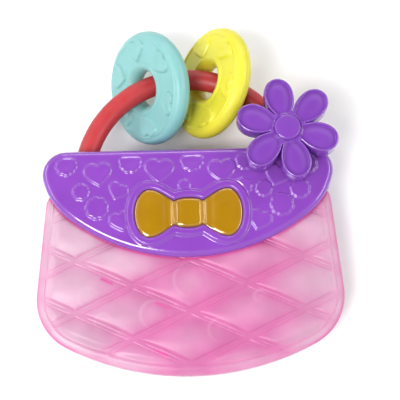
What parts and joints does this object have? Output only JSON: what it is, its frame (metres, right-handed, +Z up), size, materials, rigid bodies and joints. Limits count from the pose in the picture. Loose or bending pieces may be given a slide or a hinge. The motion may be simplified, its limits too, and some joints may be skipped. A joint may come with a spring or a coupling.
{
  "type": "water-filled teether",
  "caption": "Purse-shaped baby teether with a water-filled quilted pouch, a hard flap with a bow inlay, a round handle carrying loose rings, and a flower spinner.",
  "frame": {"origin": "middle of the bounding box's bottom, on the table that the teether lies on", "axes": "+X across the purse to the flower's side, +Y along the table from the pouch towards the handle, +Z up out of the front"},
  "size_m": [0.134, 0.1586, 0.0443],
  "materials": {
    "purple_plastic": "gloss",
    "pink_film": "satin",
    "red_bar": "satin",
    "gold_inlay": "gloss",
    "turquoise_plastic": "satin",
    "yellow_plastic": "satin",
    "water": "gloss"
  },
  "bodies": {
    "purse": {"flap_front_cover": "purple_plastic", "flap_back_cover": "purple_plastic", "bow_inlay": "gold_inlay", "handle": "red_bar", "pouch_front_wall": "pink_film", "pouch_back_wall": "pink_film", "pouch_water": "water", "pouch_fill_plug": "pink_film", "flower_axle": "purple_plastic"},
    "turquoise_ring": {"turquoise_ring_front_half": "turquoise_plastic", "turquoise_ring_back_half": "turquoise_plastic"},
    "yellow_ring": {"yellow_ring_front_half": "yellow_plastic", "yellow_ring_back_half": "yellow_plastic"},
    "flower": {"flower_back_plate": "purple_plastic", "flower_front": "purple_plastic", "flower_hub_cap": "purple_plastic"}
  },
  "joints": [
    {"name": "turquoise_ring_on_handle", "type": "hinge", "parent": "purse", "child": "turquoise_ring", "pos_m": [0, 0.00859, 0.01765], "axis": [0, -0.0972, 0.9953], "range_deg": [-4, 19]},
    {"name": "yellow_ring_on_handle", "type": "hinge", "parent": "purse", "child": "yellow_ring", "pos_m": [0, 0.00859, 0.01765], "axis": [0, -0.0972, 0.9953], "range_deg": [0, 12]},
    {"name": "flower_spin", "type": "hinge", "parent": "purse", "child": "flower", "pos_m": [0.04384, 0.02315, 0.03716], "axis": [0, -0.0972, 0.9953], "continuous": true}
  ]
}
